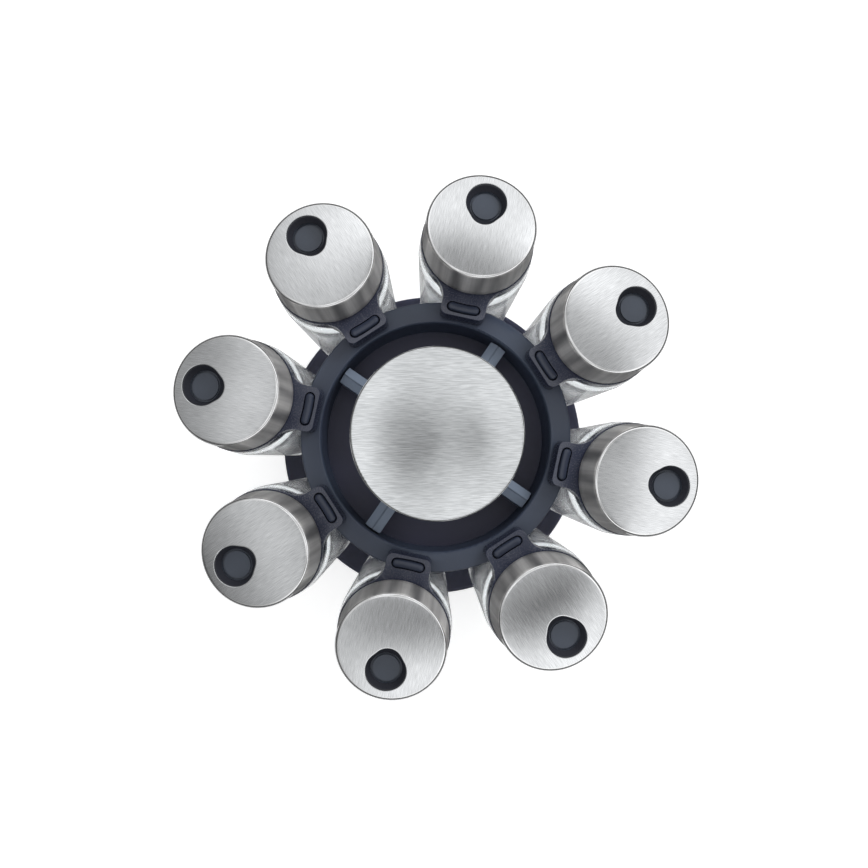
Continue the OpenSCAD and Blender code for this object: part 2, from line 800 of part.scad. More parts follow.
module steel_disc() {
    side_x = disc_r - disc_edge_r;
    color(STEEL)
        rotate_extrude()
            difference() {
                union() {
                    intersection() {
                        translate([0, disc_edge_z + disc_crown - disc_dome_r])
                            circle(r = disc_dome_r, $fn = DOME_FN);
                        translate([0, disc_edge_z - disc_rim_h])
                            square([side_x, disc_rim_h + disc_crown]);
                    }
                    translate([side_x, disc_edge_z - disc_edge_r])
                        circle(r = disc_edge_r);
                    translate([0, disc_edge_z - disc_rim_h])
                        square([disc_r, disc_rim_h - disc_edge_r]);
                }
                intersection() {
                    translate([0, disc_edge_z + disc_crown - disc_dome_r])
                        circle(r = disc_dome_r - disc_t, $fn = DOME_FN);
                    polygon([[-OVER, disc_edge_z - disc_rim_h - OVER],
                             [disc_r - disc_t, disc_edge_z - disc_rim_h - OVER],
                             [disc_r - disc_t, disc_edge_z - disc_t - carrier_edge_gap],
                             [disc_r - disc_t - 1, disc_edge_z + disc_crown],
                             [-OVER, disc_edge_z + disc_crown]]);
                }
            }
}

module ball_cage() {
    half_w = ball_r + cage_rim;
    color(BRASS)
        translate([0, 0, base_top_z + race_clear])
            difference() {
                cylinder(h = race_gap - 2 * race_clear, r = race_r + half_w);
                translate([0, 0, -OVER]) {
                    cylinder(h = race_gap + 2 * OVER, r = race_r - half_w);
                    at_angles(ball_count, race_r)
                        cylinder(h = race_gap + 2 * OVER, r = ball_r + race_clear / 2);
                }
            }
}

module bearing_balls() {
    color(STEEL)
        translate([0, 0, ball_z])
            at_angles(ball_count, race_r)
                sphere(r = ball_r);
}

module base_dish() {
    race_under_z = base_top_z - race_floor;
    race_zone_r = race_r + ball_r + 2;
    color(BLACK)
        difference() {
            union() {
                rotate_extrude() {
                    polygon([[0, race_under_z], [race_zone_r, race_under_z],
                             [race_zone_r, base_top_z - base_wall],
                             [flat_r, base_top_z - base_wall],
                             [base_r - base_wall, base_rim_h - base_wall],
                             [base_r - base_wall, foot_lift], [base_r, foot_lift],
                             [base_r, base_rim_h - base_round],
                             [base_r - base_round, base_rim_h - base_round],
                             [base_r - base_round, base_rim_h], [flat_r, base_top_z],
                             [0, base_top_z]]);
                    translate([base_r - base_round, base_rim_h - base_round])
                        circle(r = base_round);
                }
                at_angles(cover_screws_n, cover_screw_r)
                    translate([0, 0, foot_lift + cover_t + fit_gap])
                        cylinder(h = base_rim_h - foot_lift - cover_t - tip_gap, r = boss_r);
            }
            translate([0, 0, race_under_z - OVER])
                cylinder(h = race_floor + 2 * OVER, r = spindle_r + fit_gap);
            translate([0, 0, ball_z])
                rotate_extrude()
                    translate([race_r, 0])
                        circle(r = ball_r + race_clear / 2);
            at_angles(cover_screws_n, cover_screw_r)
                translate([0, 0, foot_lift])
                    cylinder(h = base_rim_h - foot_lift - 2 * tip_gap, r = screw_r + fit_gap);
        }
}

module base_weight() {
    color(STEEL)
        translate([0, 0, weight_z])
            difference() {
                cylinder(h = weight_t, r = weight_r);
                translate([0, 0, -OVER])
                    cylinder(h = weight_t + 2 * OVER, r = spindle_head_r + weight_gap);
            }
}

module base_cover() {
    color(BLACK)
        translate([0, 0, foot_lift])
            difference() {
                cylinder(h = cover_t, r = cover_r);
                translate([0, 0, -OVER])
                    difference() {
                        cylinder(h = OVER + foot_bed, r = foot_r_out + fit_gap);
                        translate([0, 0, -OVER])
                            cylinder(h = 4 * OVER, r = foot_r_out - foot_w - fit_gap);
                    }
                at_angles(cover_screws_n, cover_screw_r) {
                    translate([0, 0, -OVER])
                        cylinder(h = cover_t + 2 * OVER, r = screw_r + fit_gap);
                    translate([0, 0, -OVER])
                        cylinder(h = OVER + cover_t / 2, r = screw_head_r + fit_gap);
                }
            }
}

module base_screws() {
    head_h = cover_t / 2;
    color(STEEL)
        at_angles(cover_screws_n, cover_screw_r)
            translate([0, 0, foot_lift]) {
                cylinder(h = head_h - fit_gap, r = screw_head_r);
                cylinder(h = base_rim_h - foot_lift - 3 * tip_gap, r = screw_r);
            }
}

module foot_ring() {
    color(RUBBER)
        difference() {
            cylinder(h = foot_lift + foot_bed - fit_gap, r = foot_r_out);
            translate([0, 0, -OVER])
                cylinder(h = foot_lift + foot_bed + 2 * OVER, r = foot_r_out - foot_w);
        }
}

module spindle() {
    head_z = base_top_z - race_floor - spindle_head_h - fit_gap;
    color(STEEL)
        difference() {
            union() {
                translate([0, 0, head_z])
                    cylinder(h = spindle_head_h, r = spindle_head_r);
                translate([0, 0, head_z])
                    cylinder(h = clip_z + clip_t + spindle_tip - head_z, r = spindle_r);
            }
            translate([0, 0, clip_z - fit_gap])
                difference() {
                    cylinder(h = clip_t + 2 * fit_gap, r = spindle_r + OVER);
                    translate([0, 0, -OVER])
                        cylinder(h = clip_t + 3 * OVER, r = spindle_r - clip_groove);
                }
        }
}

module spindle_clip() {
    bore_r = spindle_r - clip_groove + fit_gap;
    color(STEEL)
        translate([0, 0, clip_z])
            difference() {
                cylinder(h = clip_t, r = spindle_r + clip_rim);
                translate([0, 0, -OVER])
                    cylinder(h = clip_t + 2 * OVER, r = bore_r);
                translate([0, -bore_r, -OVER])
                    cube([spindle_r + clip_rim + OVER, 2 * bore_r, clip_t + 2 * OVER]);
            }
}

for (n = [1:JARS]) {
    at_jar(n) glass();
    at_jar(n) collar();
    at_jar(n) sifter();
    at_jar(n) cap_insert();
    at_jar(n) cap_shell();
}
jar_ring();
drum_shell();
turntable_plate();
spindle_bush();
plate_screws();
hub_column();
column_screws();
disc_carrier();
steel_disc();
ball_cage();
bearing_balls();
base_dish();
base_weight();
base_cover();
base_screws();
foot_ring();
spindle();
spindle_clip();
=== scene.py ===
import json
from math import acos, asin, atan2, cos, hypot, pi, radians, sin, sqrt

import bmesh
import bpy
from mathutils import Matrix, Vector


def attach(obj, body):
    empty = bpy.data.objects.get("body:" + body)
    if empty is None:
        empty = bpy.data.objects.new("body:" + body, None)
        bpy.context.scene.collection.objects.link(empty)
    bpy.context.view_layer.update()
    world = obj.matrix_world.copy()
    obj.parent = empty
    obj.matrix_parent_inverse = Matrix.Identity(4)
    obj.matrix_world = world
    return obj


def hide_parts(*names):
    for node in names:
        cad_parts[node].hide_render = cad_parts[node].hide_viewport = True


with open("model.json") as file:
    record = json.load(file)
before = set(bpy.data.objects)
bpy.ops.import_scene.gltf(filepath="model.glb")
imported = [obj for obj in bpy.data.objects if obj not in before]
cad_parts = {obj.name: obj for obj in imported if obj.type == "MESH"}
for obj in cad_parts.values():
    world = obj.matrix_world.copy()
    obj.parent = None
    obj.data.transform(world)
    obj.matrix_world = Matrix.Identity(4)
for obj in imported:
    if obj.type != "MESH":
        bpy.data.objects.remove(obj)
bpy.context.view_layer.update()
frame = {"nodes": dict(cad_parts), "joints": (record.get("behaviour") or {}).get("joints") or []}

MM = 0.001
JARS = range(1, 9)
ROUND = 96

# ---- Camera: straight above, a little off the carousel's axis ----

# The camera's place is in mm from the middle of the ring of caps, in a frame with the view's right as its +X
VIEW_TURN = radians(12.157)
CAP_TOP_Z = 133
CAMERA_PLACE = (-13.69, -30.69, 850.31)
CAMERA_ROLL_Y = radians(-0.852)
CAMERA_PITCH_X = radians(2.110)

camera_data = bpy.data.cameras.new("camera")
camera_data.sensor_width = 36
camera_data.lens = 82.95
camera_data.clip_start = 0.01
camera_data.clip_end = 50
camera = bpy.data.objects.new("camera", camera_data)
bpy.context.scene.collection.objects.link(camera)
turned = Matrix.Translation((0, 0, CAP_TOP_Z * MM)) @ Matrix.Rotation(VIEW_TURN, 4, "Z")
camera.matrix_world = (
    turned
    @ Matrix.Translation(Vector(CAMERA_PLACE) * MM)
    @ Matrix.Rotation(CAMERA_ROLL_Y, 4, "Y")
    @ Matrix.Rotation(CAMERA_PITCH_X, 4, "X")
)
bpy.context.scene.camera = camera


# ---- Materials ----

WELL_R = 48.4


def linear(code):
    """An sRGB hex value as linear red, green, blue and alpha."""
    parts = [int(code[k:k + 2], 16) / 255 for k in (1, 3, 5)]
    return [p / 12.92 if p <= 0.04045 else ((p + 0.055) / 1.055) ** 2.4 for p in parts] + [1]


def add(tree, kind, inputs=None, **settings):
    """Adds a node. Each input is a socket to link from, or a value to set."""
    node = tree.nodes.new(kind)
    for name, value in settings.items():
        setattr(node, name, value)
    for name, value in (inputs or {}).items():
        if isinstance(value, bpy.types.NodeSocket):
            tree.links.new(value, node.inputs[name])
        else:
            node.inputs[name].default_value = value
    return node


def start_material(name, **sockets):
    """A material with one shader, its even values set on the shader's own sockets."""
    material = bpy.data.materials.new(name)
    material.use_nodes = True
    tree = material.node_tree
    tree.nodes.clear()
    values = {key.replace("_", " "): value for key, value in sockets.items()}
    shader = add(tree, "ShaderNodeBsdfPrincipled", values)
    add(tree, "ShaderNodeOutputMaterial", {"Surface": shader.outputs["BSDF"]})
    return material, tree, shader


def pattern(tree, size_mm, turn=0.0, detail=2.0, offset=0.0):
    """Noise whose cells are size_mm long in x, y and z, as values from 0 to 1."""
    place = add(tree, "ShaderNodeTexCoord")
    if turn:
        place = add(tree, "ShaderNodeMapping",
                    {"Vector": place.outputs["Object"], "Rotation": (0, 0, turn)})
        source = place.outputs["Vector"]
    else:
        source = place.outputs["Object"]
    scaled = add(tree, "ShaderNodeMapping",
                 {"Vector": source, "Location": (offset, offset, offset),
                  "Scale": [1 / (s * MM) for s in size_mm]})
    noise = add(tree, "ShaderNodeTexNoise",
                {"Vector": scaled.outputs["Vector"], "Scale": 1.0, "Detail": detail})
    return noise.outputs["Fac"]


def between(tree, value, low, high):
    """Spreads a pattern's middle range over the colours low to high."""
    ramp = add(tree, "ShaderNodeValToRGB", {"Fac": value})
    for stop, position, code in zip(ramp.color_ramp.elements, (0.3, 0.7), (low, high)):
        stop.position = position
        stop.color = linear(code)
    return ramp.outputs["Color"]


def spread(tree, value, low, high):
    """Spreads a pattern's middle range over the numbers low to high."""
    return add(tree, "ShaderNodeMapRange",
               {"Value": value, "From Min": 0.3, "From Max": 0.7,
                "To Min": low, "To Max": high}).outputs["Result"]


def relief(tree, shader, height, depth_mm, strength):
    """Raises the surface by a pattern, depth_mm at most."""
    bump = add(tree, "ShaderNodeBump",
               {"Height": height, "Strength": strength, "Distance": depth_mm * MM})
    tree.links.new(bump.outputs["Normal"], shader.inputs["Normal"])


def layered(tree, *colours):
    """Colours multiplied together, as marks that lie over one another."""
    result = colours[0]
    for colour in colours[1:]:
        result = add(tree, "ShaderNodeMix", {0: 1.0, 6: result, 7: colour},
                     data_type="RGBA", blend_type="MULTIPLY").outputs[2]
    return result


def stretched(tree, shader, along):
    """Stretches the highlights along a direction of the object, as scratches across it do."""
    carried = add(tree, "ShaderNodeVectorTransform", {"Vector": along},
                  vector_type="VECTOR", convert_from="OBJECT", convert_to="WORLD")
    tree.links.new(carried.outputs["Vector"], shader.inputs["Tangent"])


def brushed_steel(name, low, high, turn=0.0, rough=(0.185, 0.2)):
    """Stainless steel sheet, satin brushed one way: its fine scratches stretch the highlights."""
    material, tree, shader = start_material(name, Metallic=1.0, Anisotropic=0.7)
    # real scratches are 0.05 mm wide and 5 to 15 mm long; drawn 0.2 to 0.3 mm wide, so that they show
    fine = pattern(tree, (4, 0.2, 60), turn, 0.0)
    long = pattern(tree, (9, 0.3, 60), turn, 0.0, 3.7)
    cloudy = pattern(tree, (26, 14, 14), turn, 1.0, 9.1)
    colour = layered(tree, between(tree, fine, low, high), between(tree, long, "#f6f6f6", "#ffffff"),
                     between(tree, cloudy, "#f5f5f5", "#ffffff"))
    tree.links.new(colour, shader.inputs["Base Color"])
    tree.links.new(spread(tree, long, *rough), shader.inputs["Roughness"])
    relief(tree, shader, fine, 0.003, 0.05)
    stretched(tree, shader, (sin(turn), cos(turn), 0))
    return material


def drawn_steel(name, low, high, painted_reflection_dark):
    """The cap's deep-drawn side, brushed round it: dull, with soft streaks up it painted into its colour as
    painted reflections.
    """
    # only a fifth of it is a plain mirror: its fine cross scratches scatter the rest, as a matt face does
    material, tree, shader = start_material(name, Metallic=0.2, Anisotropic=0.85)
    # the brushing's 0.05 mm lines are drawn 0.2 mm wide, so that they show
    fine = pattern(tree, (30, 30, 0.22), detail=2.0)
    # the two patterns of streaks up the side paint reflections into its colour, darker and lighter bands
    painted_reflection_broad = pattern(tree, (11, 11, 120), detail=2.0, offset=2.2)
    painted_reflection_narrow = pattern(tree, (1.8, 1.8, 60), detail=1.0, offset=7.4)
    colour = layered(tree, between(tree, fine, low, high), between(tree, painted_reflection_broad, painted_reflection_dark, "#ffffff"),
                     between(tree, painted_reflection_narrow, "#dcdcdc", "#ffffff"))
    tree.links.new(colour, shader.inputs["Base Color"])
    tree.links.new(spread(tree, painted_reflection_broad, 0.5, 0.42), shader.inputs["Roughness"])
    relief(tree, shader, fine, 0.004, 0.3)
    stretched(tree, shader, (0, 0, 1))
    return material


def bent_steel(name, low, high):
    """The bend round the cap's edge: smooth and bright, as drawing and handling burnish it."""
    material, tree, shader = start_material(name, Metallic=1.0)
    marks = pattern(tree, (1.5, 1.5, 0.4), detail=2.0)
    tree.links.new(between(tree, marks, low, high), shader.inputs["Base Color"])
    tree.links.new(spread(tree, marks, 0.1, 0.14), shader.inputs["Roughness"])
    return material


def moulded(name, low, high, rough=(0.42, 0.52), grain_mm=0.6, depth_mm=0.015, **sockets):
    """Injection-moulded plastic: an even satin face with a fine spark-eroded grain from its mould."""
    material, tree, shader = start_material(name, **{"IOR": 1.53, **sockets})
    # the mould's grain of about 0.1 mm is drawn coarser so that it shows
    grain = pattern(tree, (grain_mm,) * 3, detail=3.0)
    flow = pattern(tree, (34, 34, 20), detail=2.0, offset=5.3)
    tree.links.new(between(tree, flow, low, high), shader.inputs["Base Color"])
    tree.links.new(spread(tree, grain, *rough), shader.inputs["Roughness"])
    relief(tree, shader, grain, depth_mm, 0.5)
    return material


def ring_plastic(name, low, high, well_shade_low, well_shade_high):
    """The moulded ring's plastic: satin on the sloping rim, with painted shade down in the well: a darker
    colour inside WELL_R.
    """
    material, tree, shader = start_material(name, IOR=1.53)
    grain = pattern(tree, (0.6, 0.6, 0.6), detail=3.0)
    flow = pattern(tree, (34, 34, 20), detail=2.0, offset=5.3)
    place = add(tree, "ShaderNodeTexCoord")
    flat = add(tree, "ShaderNodeVectorMath", {0: place.outputs["Object"], 1: (1, 1, 0)},
               operation="MULTIPLY")
    reach = add(tree, "ShaderNodeVectorMath", {0: flat.outputs["Vector"]}, operation="LENGTH")
    # inside WELL_R the colour turns to the darker well colours: painted shade down in the well
    rim = add(tree, "ShaderNodeMapRange",
              {"Value": reach.outputs["Value"], "From Min": (WELL_R - 0.8) * MM,
               "From Max": (WELL_R - 0.2) * MM}).outputs["Result"]
    colour = add(tree, "ShaderNodeMix",
                 {0: rim, 6: between(tree, flow, well_shade_low, well_shade_high), 7: between(tree, flow, low, high)},
                 data_type="RGBA", blend_type="MIX")
    tree.links.new(colour.outputs[2], shader.inputs["Base Color"])
    tree.links.new(spread(tree, grain, 0.42, 0.52), shader.inputs["Roughness"])
    relief(tree, shader, grain, 0.015, 0.5)
    return material


def clear_glass(name):
    """Soda-lime glass, pressed and blown: clear and pale, with slow ripples round it and fine ones up it."""
    # its IOR of 1.52 is set lower: through two walls and a thick foot the render would go dark
    material, tree, shader = start_material(name, Transmission_Weight=1.0, IOR=1.2,
                                            Coat_Weight=0.3, Coat_Roughness=0.06)
    ripple = pattern(tree, (9, 9, 26), detail=1.0)
    drawn = pattern(tree, (2.4, 2.4, 40), detail=2.0, offset=4.1)
    both = add(tree, "ShaderNodeMath", {0: ripple, 1: drawn}, operation="ADD").outputs[0]
    tree.links.new(between(tree, ripple, "#f7fbfd", "#ffffff"), shader.inputs["Base Color"])
    tree.links.new(spread(tree, ripple, 0.16, 0.24), shader.inputs["Roughness"])
    relief(tree, shader, both, 0.12, 0.35)
    return material


def turned_metal(name, low, high, rough=(0.22, 0.36)):
    """Plain machined or plated metal with fine marks."""
    material, tree, shader = start_material(name, Metallic=1.0)
    marks = pattern(tree, (1.2, 1.2, 0.35), detail=3.0)
    tree.links.new(between(tree, marks, low, high), shader.inputs["Base Color"])
    tree.links.new(spread(tree, marks, *rough), shader.inputs["Roughness"])
    relief(tree, shader, marks, 0.01, 0.3)
    return material


CAP_STEEL = brushed_steel("brushed_stainless_cap", "#d0d1d2", "#e4e5e6")
# 55565d is the dark end of the side's painted reflection streaks
CAP_SIDE_STEEL = drawn_steel("drawn_stainless_cap_side", "#ece9e6", "#fffdfa", "#55565d")
CAP_EDGE_STEEL = bent_steel("burnished_stainless_cap_edge", "#dedede", "#e8e8e8")
DISC_STEEL = brushed_steel("brushed_stainless_disc", "#cbcdce", "#e6e8e9", turn=-VIEW_TURN,
                           rough=(0.14, 0.155))
# the last two colours are the well's painted shade, darker than the rim's colours
RING_ABS = ring_plastic("moulded_abs_charcoal", "#343a4a", "#3d4656", "#2a2b3f", "#32334a")
# the hub's colour is set lighter than the ring's to stand for the light on its spokes' faces: painted light
HUB_ABS_PAINTED_LIGHT = moulded("moulded_abs_slate_painted_light", "#6e7a8b", "#7a8698")
DRUM_ABS = moulded("moulded_abs_black", "#22243a", "#2a2d44")
PEG_ABS = moulded("moulded_abs_peg", "#2c3242", "#343b4c", rough=(0.3, 0.4))
COLLAR_PP = moulded("moulded_polypropylene_slate", "#2e3141", "#363b4c", rough=(0.22, 0.3),
                    Specular_IOR_Level=0.75)
INSERT_PP = moulded("moulded_polypropylene_black", "#26272d", "#2e2f36", rough=(0.32, 0.42))
SIFTER_PP = moulded("moulded_polypropylene_sifter", "#3a404a", "#424955", rough=(0.4, 0.5))
JAR_GLASS = clear_glass("pressed_soda_lime_glass")
SCREW_ZINC = turned_metal("zinc_plated_screw_steel", "#a9aaa6", "#c6c6c2")
SPINDLE_STEEL = turned_metal("ground_spindle_steel", "#a4a6a8", "#c8cacc", rough=(0.16, 0.26))
BUSH_BRASS = turned_metal("turned_brass", "#b08a45", "#c9a35c")
BALLAST_IRON = turned_metal("cast_iron_ballast", "#4c4c4e", "#5c5c5e", rough=(0.5, 0.7))
FOOT_RUBBER = moulded("nitrile_rubber", "#1c1c1e", "#242426", rough=(0.7, 0.85), grain_mm=1.0,
                      depth_mm=0.04)


# ---- Shapes ----

def new_piece(name, mesh, material, matrix):
    """Puts a mesh in the scene. A mesh that has materials keeps them."""
    piece = bpy.data.objects.new(name, mesh)
    bpy.context.scene.collection.objects.link(piece)
    if not mesh.materials:
        mesh.materials.append(material)
    piece.matrix_world = matrix
    return piece


def lofted(name, loops, closed=False, sharp_deg=40):
    """A mesh through loops of points, in mm.

    A loop of one point is a pole, and closed joins the last loop to the first.
    """
    shape = bmesh.new()
    rings = [[shape.verts.new(Vector(p) * MM) for p in loop] for loop in loops]
    pairs = list(zip(rings, rings[1:])) + ([(rings[-1], rings[0])] if closed else [])
    for one, two in pairs:
        count = max(len(one), len(two))
        for k in range(count):
            corners = [one[k % len(one)], one[(k + 1) % len(one)],
                       two[(k + 1) % len(two)], two[k % len(two)]]
            corners = list(dict.fromkeys(corners))
            if len(corners) > 2:
                shape.faces.new(corners)
    bmesh.ops.recalc_face_normals(shape, faces=shape.faces)
    mesh = bpy.data.meshes.new(name)
    shape.to_mesh(mesh)
    shape.free()
    mesh.polygons.foreach_set("use_smooth", [True] * len(mesh.polygons))
    mesh.set_sharp_from_angle(angle=radians(sharp_deg))
    return mesh


def circle(r, z):
    if r == 0:
        return [(0, 0, z)]
    return [(r * cos(2 * pi * k / ROUND), r * sin(2 * pi * k / ROUND), z) for k in range(ROUND)]


def arc(x, z, r, start, end, steps):
    """Points of a profile's rounding, between two angles in degrees."""
    return [(x + r * cos(radians(start + (end - start) * k / steps)),
             z + r * sin(radians(start + (end - start) * k / steps))) for k in range(steps + 1)]


# Each jar's frame: its cap's top centre, +Z up the jar's axis, +X away from the carousel
jar_frame = {}
for joint in frame["joints"]:
    if joint["name"].startswith("cap_") and joint["name"].endswith("_turn"):
        up = Vector(joint["axis"]).normalized()
        centre = Vector(joint["pos_m"])
        out = Vector((centre.x, centre.y, 0)).normalized()
        side = up.cross(out).normalized()
        out = side.cross(up)
        turn = Matrix((out, side, up)).transposed().to_4x4()
        jar_frame[int(joint["name"].split("_")[1])] = Matrix.Translation(centre) @ turn


# ---- Twist cap's steel shell ----

CAP_R = 24
CAP_FLARE = 0.3
CAP_H = 20.3
CAP_CROWN = 0.9
CAP_EDGE_R = 1.5
STEEL_T = 0.6
# The egg-shaped opening: a wide end and a narrower tip towards the carousel's middle
MOUTH_X, MOUTH_R = 10.8, 8.8
MOUTH_TIP_X, MOUTH_TIP_R = 6.8, 6.3
# The mesh runs out from here in rays, to the opening's edge and on to the cap's
RAY_X = 9.3
DOME_R = ((CAP_R - CAP_EDGE_R) ** 2 + CAP_CROWN ** 2) / (2 * CAP_CROWN)
CAP_RAYS = 144
FACE_STEPS = 14
LIP_SHARES = (0, 0.015, 0.035)
LIP_W = 0.3
LIP_BREAK = 0.09
HAIR = 0.01
SIDE_SLOT, BEND_SLOT = 1, 2


def circle_reach(angle, x, r):
    """How far a ray from the opening's middle runs to a circle of radius r centred at x."""
    ahead = (x - RAY_X) * cos(angle)
    across = (x - RAY_X) * sin(angle)
    return ahead + sqrt(r * r - across * across)


def mouth_reach(angle, grow):
    """How far a ray from the opening's middle runs to its egg-shaped edge."""
    wide, tip = MOUTH_R + grow, MOUTH_TIP_R + grow
    lean = acos((tip - wide) / (MOUTH_X - MOUTH_TIP_X))
    reach = max(circle_reach(angle, MOUTH_X, wide), circle_reach(angle, MOUTH_TIP_X, tip))
    facing = cos(abs(atan2(sin(angle), cos(angle))) - lean)
    if facing > 0:
        flat = (wide + (MOUTH_X - RAY_X) * cos(lean)) / facing
        if MOUTH_TIP_X + tip * cos(lean) <= RAY_X + flat * cos(angle) <= MOUTH_X + wide * cos(lean):
            reach = max(reach, flat)
    return reach


def dome(x, y, inset):
    """Height of the cap's dome at a point, or of the face inset mm under it."""
    return sqrt((DOME_R - inset) ** 2 - x * x - y * y) - DOME_R


def cap_steel_mesh():
    rays = [2 * pi * k / CAP_RAYS for k in range(CAP_RAYS)]
    edge_x = CAP_R - CAP_EDGE_R

    def rim(r, z):
        """Where the rays meet a circle of the cap's side."""
        return [(RAY_X + circle_reach(a, 0, r) * cos(a), circle_reach(a, 0, r) * sin(a), z) for a in rays]

    def face(share, grow, inset):
        """A loop on the cap's dome, from the opening at 0 to the edge at 1."""
        loop = []
        for a in rays:
            reach = mouth_reach(a, grow) * (1 - share) + circle_reach(a, 0, edge_x) * share
            x, y = RAY_X + reach * cos(a), reach * sin(a)
            loop.append((x, y, dome(x, y, inset)))
        return loop

    def sunk(loop, depth):
        return [(x, y, z - depth) for x, y, z in loop]

    side_z = -CAP_CROWN - CAP_EDGE_R
    # loops close to the opening keep its bright lip a thin line
    loops = [face(share, LIP_W, 0) for share in LIP_SHARES]
    loops += [face(step / FACE_STEPS, LIP_W, 0) for step in range(1, FACE_STEPS + 1)]
    loops += [rim(r, z) for r, z in arc(edge_x, side_z, CAP_EDGE_R, 74, 0, 7)]
    loops += [rim(CAP_R + CAP_FLARE * s / 5, side_z - (CAP_H + side_z - 0.25) * s / 5) for s in range(1, 6)]
    loops += [rim(CAP_R + CAP_FLARE - 0.2, -CAP_H), rim(CAP_R + CAP_FLARE - STEEL_T, -CAP_H)]
    loops += [rim(CAP_R - STEEL_T, side_z)]
    loops += [rim(r, z) for r, z in arc(edge_x, side_z, CAP_EDGE_R - STEEL_T, 20, 80, 3)]
    loops += [face(s / 4, 0, STEEL_T) for s in range(4, -1, -1)]
    loops += [sunk(face(0, 0, 0), LIP_W), sunk(face(0, LIP_BREAK, 0), LIP_BREAK)]
    mesh = lofted("cap_steel", loops, closed=True)
    mesh.materials.append(CAP_STEEL)
    mesh.materials.append(CAP_SIDE_STEEL)
    mesh.materials.append(CAP_EDGE_STEEL)
    for polygon in mesh.polygons:
        corners = [mesh.vertices[v].co / MM for v in polygon.vertices]
        reach = [hypot(corner.x, corner.y) for corner in corners]
        lowest = min(corner.z for corner in corners)
        if max(reach) > CAP_R + HAIR:
            polygon.material_index = SIDE_SLOT
        elif min(reach) > edge_x - HAIR and lowest > side_z - HAIR and polygon.normal.z > 0:
            # where the bend faces the carousel's middle it takes the side's dull material with its painted
            # reflection streaks, so it shows lighter there than the steel's reflection would: painted light
            inward = polygon.normal.z < 0.72 and polygon.normal.x < -0.15
            polygon.material_index = SIDE_SLOT if inward else BEND_SLOT
    return mesh


# ---- Glass jar ----

# Depths below the cap's top, and radii
GLASS_NECK_S = 6.5
GLASS_SHOULDER_S = 26.9
GLASS_TAPER_S = 35.9
GLASS_FLOOR_S = 92
GLASS_HEEL_S = 97
GLASS_END_S = 103
GLASS_BORE_R = 17.4
GLASS_NECK_R = 19.6
GLASS_BODY_R = 25
GLASS_HEEL_R = 20.5
GLASS_HEEL_BEND = 6
GLASS_SHOULDER_BEND = 2.5
GLASS_LIP_BEND = 1.1


def jar_glass_mesh():
    body_step = (GLASS_BODY_R - GLASS_HEEL_R) / 8
    outside_rise = (GLASS_HEEL_S - GLASS_TAPER_S) / 8
    inside_rise = (GLASS_FLOOR_S - GLASS_TAPER_S - 2) / 6
    # the foot's hollow and its heel
    profile = [(0, -GLASS_END_S + 1.2), (8, -GLASS_END_S + 1.2)]
    profile += [(11, -GLASS_END_S + 0.6), (12.4, -GLASS_END_S + 0.1), (13.6, -GLASS_END_S)]
    profile += arc(GLASS_HEEL_R - GLASS_HEEL_BEND, -GLASS_HEEL_S, GLASS_HEEL_BEND, -88, 0, 10)
    # up the outside to the lip
    profile += [(GLASS_HEEL_R + body_step * k, -GLASS_HEEL_S + outside_rise * k) for k in range(1, 9)]
    profile += arc(GLASS_BODY_R - GLASS_SHOULDER_BEND, -GLASS_SHOULDER_S - GLASS_SHOULDER_BEND,
                   GLASS_SHOULDER_BEND, 0, 86, 6)
    profile += [(19.9, -GLASS_SHOULDER_S), (GLASS_NECK_R, -GLASS_SHOULDER_S + 0.3)]
    profile += [(GLASS_NECK_R, -GLASS_NECK_S - 0.8)]
    profile += arc(GLASS_NECK_R - GLASS_LIP_BEND, -GLASS_NECK_S - GLASS_LIP_BEND, GLASS_LIP_BEND, 30, 150, 6)
    # down the inside to the floor
    profile += [(GLASS_BORE_R, -GLASS_NECK_S - 2), (GLASS_BORE_R, -GLASS_SHOULDER_S - 0.5)]
    profile += [(18.4, -GLASS_SHOULDER_S - 2), (20.6, -GLASS_SHOULDER_S - 3.6)]
    profile += [(22.2, -GLASS_SHOULDER_S - 5.4), (22.9, -GLASS_SHOULDER_S - 7.6), (23, -GLASS_TAPER_S - 1)]
    profile += [(18.7 + 0.7 * k, -GLASS_FLOOR_S + inside_rise * k) for k in range(6, -1, -1)]
    profile += arc(13.6, -GLASS_FLOOR_S, 5, 0, -90, 8)[1:]
    profile += [(7, -97.3), (0, -97.4)]
    return lofted("jar_glass", [circle(r, z) for r, z in profile], sharp_deg=60)


cap_mesh = cap_steel_mesh()
glass_mesh = jar_glass_mesh()
for n in JARS:
    cap = new_piece(f"cap_steel_{n}", cap_mesh, CAP_STEEL, jar_frame[n])
    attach(cap, f"cap_{n}")
    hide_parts(f"cap_shell_{n}")
    jar = new_piece(f"jar_glass_{n}", glass_mesh, JAR_GLASS, jar_frame[n])
    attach(jar, f"jar_{n}")
    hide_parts(f"glass_{n}")


# ---- Domed tops of the ring's pegs ----

# SEAT_R is the radius of the peg's curve round the carousel, and PEG_REACH its distance from the cap's axis
SEAT_R = 54.91
PEG_REACH = 31.3
PEG_W = 3.5
PEG_L = 13.6
PEG_TOP_S = 20.9
PEG_DOME_H = 0.8
PEG_SKIRT = 0.3


def peg_outline(w, z):
    """The peg's long curved outline, w mm to each side of its middle line."""
    half = asin((PEG_L - PEG_W) / 2 / SEAT_R)
    bend = [half * (2 * k / 12 - 1) for k in range(13)]
    turn = [pi * k / 12 for k in range(1, 12)]
    end_x, end_y = SEAT_R * cos(half), SEAT_R * sin(half)
    points = [((SEAT_R + w) * cos(a), (SEAT_R + w) * sin(a)) for a in bend]
    points += [(end_x + w * cos(half + a), end_y + w * sin(half + a)) for a in turn]
    points += [((SEAT_R - w) * cos(a), (SEAT_R - w) * sin(a)) for a in reversed(bend)]
    points += [(end_x - w * cos(a - half), w * sin(half - a) - end_y) for a in turn]
    return [(SEAT_R - PEG_REACH - x, -y, z) for x, y in points]


